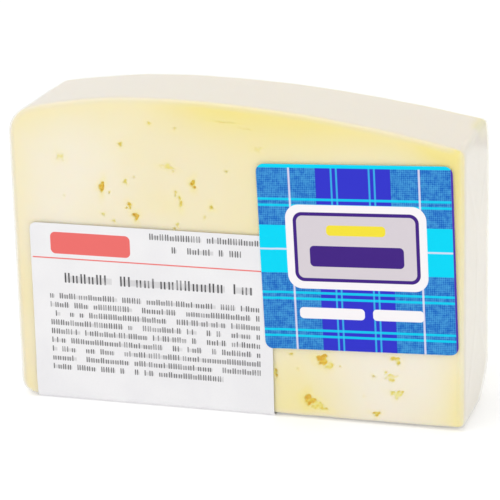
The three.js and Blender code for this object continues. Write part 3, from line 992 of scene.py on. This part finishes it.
def lines(p, value, centres, half_width):
    return either(p, *[within(p, value, c - half_width, c + half_width, LINE_EDGE) for c in centres])


def chance(p, x, y, seed):
    """A steady random number for each pair of whole numbers."""
    place = p.node("ShaderNodeCombineXYZ")
    p.put(place.inputs[0], x)
    p.put(place.inputs[1], y)
    place.inputs[2].default_value = seed
    made = p.node("ShaderNodeTexWhiteNoise", noise_dimensions="3D")
    p.put(made.inputs["Vector"], place.outputs[0])
    return made.outputs["Value"]


def dummy_lines(p, u, v, left, top, right, pitch, rows, tall, cell, gaps, seed):
    """Rows of plain upright ticks over a faint tone, which stand for print without being letters.

    Each row is a line of cells, and a cell holds one or two ticks. The share gaps of all cells is empty.
    """
    row = p.math("FLOOR", p.math("DIVIDE", p.math("SUBTRACT", v, top), pitch))
    down = p.math("SUBTRACT", p.math("SUBTRACT", v, top), p.math("MULTIPLY", row, pitch))
    across = p.math("DIVIDE", p.math("SUBTRACT", u, left), cell)
    column = p.math("FLOOR", across)
    along = p.math("SUBTRACT", across, column)
    there = p.math("GREATER_THAN", chance(p, column, row, seed), gaps)
    style = chance(p, column, row, seed + 1.7)
    head = p.ramp(style, 0.55, 0.75, 0.0, 0.26 * tall)
    first = within(p, along, 0.06, 0.26, 0.08)
    second = p.math("MULTIPLY", within(p, along, 0.5, 0.7, 0.08), p.math("GREATER_THAN", style, 0.2))
    tick = either(p, first, second)
    tone = p.math("MULTIPLY", within(p, down, 0.3 * tall, 0.92 * tall, 0.2), 0.22)
    mark = p.math("MULTIPLY", tick, within(p, down, 0.0, tall, 0.1))
    mark = p.math("MULTIPLY", mark, p.ramp(p.math("SUBTRACT", down, head), -0.06, 0.06))
    area = within(p, v, top - 0.05, top + rows * pitch - 0.05)
    area = p.math("MULTIPLY", within(p, u, left, right), area)
    return p.math("MULTIPLY", p.math("MULTIPLY", p.math("MAXIMUM", mark, tone), there), area)


# The heading, two rows at the upper right and the body, as dummy_lines() takes them.
PRINT_ROWS = (
    (8.0, 11.7, 53.5, 9.0, 1, 2.4, 1.95, 0.14, 3.0),
    (28.0, 1.0, 56.5, 3.3, 1, 1.5, 1.25, 0.17, 7.0),
    (34.5, 3.9, 51.0, 3.3, 1, 1.5, 1.25, 0.17, 9.0),
    (4.2, 16.7, 55.0, 2.17, 8, 1.35, 1.19, 0.17, 11.0),
    (4.2, 34.06, 46.0, 2.17, 1, 1.35, 1.19, 0.17, 13.0),
)
RED_RULE = (8.15, 8.45)
RED_BAR = (5.0, 2.0, 24.5, 7.2, 1.2)

PAPER = linear(237, 236, 237)
PAPER_CLOUD = linear(232, 231, 233)
PAPER_FIBRE = linear(222, 221, 224)
BACKING = linear(226, 224, 220)
INK = linear(30, 28, 34)
RED = linear(232, 86, 80)


def paper_coordinates(p):
    """Across and down from the sheet's upper left corner, and 1 on its upper side or 0 on its underside."""
    split = p.node("ShaderNodeSeparateXYZ")
    p.put(split.inputs[0], p.attribute("sheet", "Vector"))
    return split.outputs


def price_material():
    p = Paint("price_paper")
    place = p.place()
    u, v, side = paper_coordinates(p)
    fibre = p.noise(place, 0.5, 3.0, 0.7)
    cloud = p.noise(place, 12, 2.0)
    paper = p.mix(p.ramp(cloud, 0.3, 0.7), PAPER, PAPER_CLOUD)
    paper = p.mix(p.ramp(fibre, 0.35, 0.75, 0.0, 0.12), paper, PAPER_FIBRE)
    worn = p.ramp(p.noise(place, 3.5, 3.0), 0.34, 0.5, 0.7, 1.0)
    print_rows = either(p, *[dummy_lines(p, u, v, *rows) for rows in PRINT_ROWS])
    print_mask = p.math("MULTIPLY", print_rows, worn)
    rule = p.math("MULTIPLY", within(p, v, *RED_RULE, 0.08), within(p, u, 0.4, 59.0, 0.1))
    red = p.math("MULTIPLY", either(p, rule, oblong(p, u, v, *RED_BAR)), p.math("MULTIPLY", side, 0.92))
    colour = p.mix(p.math("MULTIPLY", print_mask, side), paper, INK)
    colour = p.mix(red, colour, RED)
    colour = p.mix(p.inverse(side), colour, BACKING)
    normal = p.bump(fibre, 0.1, 0.03)
    p.principled(
        Base_Color=colour,
        Roughness=p.ramp(fibre, 0.3, 0.7, 0.5, 0.62),
        Normal=p.bump(cloud, 0.15, 0.2, normal),
        Specular_IOR_Level=0.2,
    )
    return p.material


# The check and panel, from the sticker's upper left corner. Oblongs are left, top, right, bottom and corner.
DOT_PITCH = 0.85
BAND_ACROSS = (14.0, 25.0)
BAND_DOWN = (13.6, 30.6)
CYAN_ROWS = (8.0, 9.4, 29.6, 31.0, 38.4, 39.8)
CYAN_COLUMNS = (17.2, 18.4, 25.8, 27.0)
WHITE_COLUMNS = (7.5, 37.0)
WHITE_ROW = 19.5
TOP_STRIP = (-1.0, 0.8)
RIGHT_STRIP = (44.05, 46.0)
PANEL_OBLONG = (6.2, 9.2, 38.3, 28.6, 3.2)
SHADED_FIELD_OBLONG = (8.0, 11.0, 36.5, 26.8, 2.0)
LINE_OUTSIDE = (7.9, 10.9, 36.6, 26.9, 2.1)
LINE_INSIDE = (8.7, 11.7, 35.8, 26.1, 1.4)
VIOLET_BAR = (11.5, 18.6, 33.0, 23.4, 1.0)
YELLOW_BAR = (15.5, 13.8, 29.0, 16.2, 0.9)
WHITE_BARS = ((8.5, 33.0, 23.5, 35.6, 0.9), (25.4, 33.0, 37.0, 35.6, 0.9))

BLUE = linear(16, 92, 186)
SKY = linear(70, 156, 214)
INDIGO = linear(50, 52, 200)
CYAN = linear(0, 212, 242)
LINE_CYAN = linear(60, 200, 240)
LINE_WHITE = linear(226, 220, 240)
EDGE_VIOLET = linear(78, 50, 170)
PANEL = linear(244, 240, 242)
PANEL_PAINTED_SHADE = linear(212, 204, 210)
PANEL_LINE = linear(66, 36, 128)
PANEL_YELLOW = linear(240, 222, 60)


def square_material():
    p = Paint("check_paper")
    place = p.place()
    u, v, side = paper_coordinates(p)
    fibre = p.noise(place, 0.4, 2.0)
    # A fine lattice of print dots between two blues, uneven in strength.
    turns = 2 * math.pi / DOT_PITCH
    rising = p.math("SINE", p.math("MULTIPLY", p.math("ADD", u, v), turns))
    falling = p.math("SINE", p.math("MULTIPLY", p.math("SUBTRACT", u, v), turns))
    strength = p.ramp(p.noise(place, 1.2, 3.0, 0.7), 0.25, 0.75, 0.1, 0.9)
    weave = p.math("MULTIPLY_ADD", p.math("MULTIPLY", rising, falling), 0.45, strength, clamp=True)
    colour = p.mix(weave, BLUE, SKY)

    band_across = within(p, v, *BAND_ACROSS, BAND_EDGE)
    band_down = within(p, u, *BAND_DOWN, BAND_EDGE)
    colour = p.mix(band_across, colour, CYAN)
    weaker = p.inverse(p.math("MULTIPLY", band_across, 0.45))
    colour = p.mix(p.math("MULTIPLY", band_down, weaker), colour, INDIGO)
    colour = p.mix(p.math("MULTIPLY", lines(p, v, CYAN_ROWS, 0.28), 0.85), colour, CYAN)
    colour = p.mix(p.math("MULTIPLY", lines(p, u, CYAN_COLUMNS, 0.2), 0.7), colour, LINE_CYAN)
    whites = either(p, lines(p, u, WHITE_COLUMNS, 0.22), lines(p, v, (WHITE_ROW,), 0.2))
    colour = p.mix(p.math("MULTIPLY", whites, 0.85), colour, LINE_WHITE)
    colour = p.mix(within(p, v, *TOP_STRIP, BAND_EDGE), colour, CYAN)
    colour = p.mix(within(p, u, *RIGHT_STRIP, BAND_EDGE), colour, EDGE_VIOLET)

    colour = p.mix(oblong(p, u, v, *PANEL_OBLONG), colour, PANEL)
    # The panel's grey field is painted shade, as of a recess inside an embossed rim.
    colour = p.mix(oblong(p, u, v, *SHADED_FIELD_OBLONG), colour, PANEL_PAINTED_SHADE)
    line = p.math("SUBTRACT", oblong(p, u, v, *LINE_OUTSIDE), oblong(p, u, v, *LINE_INSIDE))
    colour = p.mix(either(p, line, oblong(p, u, v, *VIOLET_BAR)), colour, PANEL_LINE)
    colour = p.mix(oblong(p, u, v, *YELLOW_BAR), colour, PANEL_YELLOW)
    colour = p.mix(either(p, *[oblong(p, u, v, *bar) for bar in WHITE_BARS]), colour, PANEL)
    colour = p.mix(p.inverse(side), colour, BACKING)
    p.principled(
        Base_Color=colour,
        Roughness=p.ramp(fibre, 0.3, 0.7, 0.32, 0.42),
        Normal=p.bump(fibre, 0.08, 0.03),
        Specular_IOR_Level=0.08,
    )
    return p.material


# Setting: a pale floor under soft studio light.

FLOOR_REACH = 4000.0
FLOOR_BELOW = 0.02
FLOOR_CELLS = 12
# The camera's direction in degrees, its distance from what it aims at, and that point from the box's middle.
CAMERA_AZIMUTH, CAMERA_ELEVATION, CAMERA_ROLL = 17.45, 16.389, -1.438
CAMERA_DISTANCE = 527.42
CAMERA_AIM = (-3.71, 11.50, -5.11)
CAMERA_LENS = 160.4


def make_floor():
    grid = np.linspace(-FLOOR_REACH, FLOOR_REACH, FLOOR_CELLS + 1)
    xs, ys = np.meshgrid(grid, grid, indexing="ij")
    verts = np.stack([xs.ravel(), ys.ravel(), np.full(xs.size, -FLOOR_BELOW)], 1)
    index = np.arange(xs.size).reshape(xs.shape)
    obj = make_object("floor", verts, grid_quads(index), smooth=False)
    p = Paint("floor_paint")
    grain = p.noise(p.place(), 60, 2.0)
    p.principled(
        Base_Color=p.mix(grain, linear(224, 224, 224), linear(227, 227, 227)),
        Roughness=0.75,
        Specular_IOR_Level=0.2,
        Emission_Color=(1.0, 1.0, 1.0, 1.0),
        Emission_Strength=0.3,
    )
    obj.data.materials.append(p.material)


def make_light(name, place, size, power):
    """A rectangular lamp that faces the object. Its place and size are in metres."""
    lamp = bpy.data.lights.new(name, "AREA")
    lamp.shape = "RECTANGLE"
    lamp.size, lamp.size_y = size
    lamp.energy = power
    obj = bpy.data.objects.new(name, lamp)
    obj.location = Vector(place)
    obj.rotation_mode = "QUATERNION"
    obj.rotation_quaternion = (Vector((0, 0, 0.04)) - obj.location).to_track_quat("-Z", "Y")
    bpy.context.scene.collection.objects.link(obj)


def make_world():
    world = bpy.data.worlds.new("studio")
    bpy.context.scene.world = world
    world.use_nodes = True
    background = world.node_tree.nodes["Background"]
    background.inputs["Color"].default_value = (1.0, 1.0, 1.0, 1)
    background.inputs["Strength"].default_value = 0.92


def make_camera():
    azimuth, elevation = math.radians(CAMERA_AZIMUTH), math.radians(CAMERA_ELEVATION)
    roll = math.radians(CAMERA_ROLL)
    level = Vector((math.sin(azimuth), -math.cos(azimuth), 0))
    back = level * math.cos(elevation) + Vector((0, 0, math.sin(elevation)))
    right = Vector((math.cos(azimuth), math.sin(azimuth), 0))
    up = back.cross(right)
    turned_right = math.cos(roll) * right + math.sin(roll) * up
    turned_up = math.cos(roll) * up - math.sin(roll) * right
    middle = (Vector(CAD_BOX[0]) + Vector(CAD_BOX[1])) / 2
    aim = middle + Vector(CAMERA_AIM) * MM
    data = bpy.data.cameras.new("camera")
    data.sensor_width = 36
    data.lens = CAMERA_LENS
    data.clip_start, data.clip_end = 0.05, 20
    obj = bpy.data.objects.new("camera", data)
    obj.rotation_mode = "QUATERNION"
    obj.rotation_quaternion = Matrix((turned_right, turned_up, back)).transposed().to_quaternion()
    obj.location = aim + back * CAMERA_DISTANCE * MM
    bpy.context.scene.collection.objects.link(obj)
    bpy.context.scene.camera = obj


make_cheese()
make_film()
make_price_label()
make_square_label()
make_floor()
make_light("key", (-0.4, -0.45, 1.4), (1.2, 1.2), 4.6)
make_light("fill", (1.3, -0.1, 0.5), (0.9, 0.9), 0.4)
make_world()
make_camera()

scene = bpy.context.scene
scene.view_settings.view_transform = "Standard"
scene.view_settings.look = "None"
scene.view_settings.exposure = 0.0
scene.view_settings.gamma = 1.0
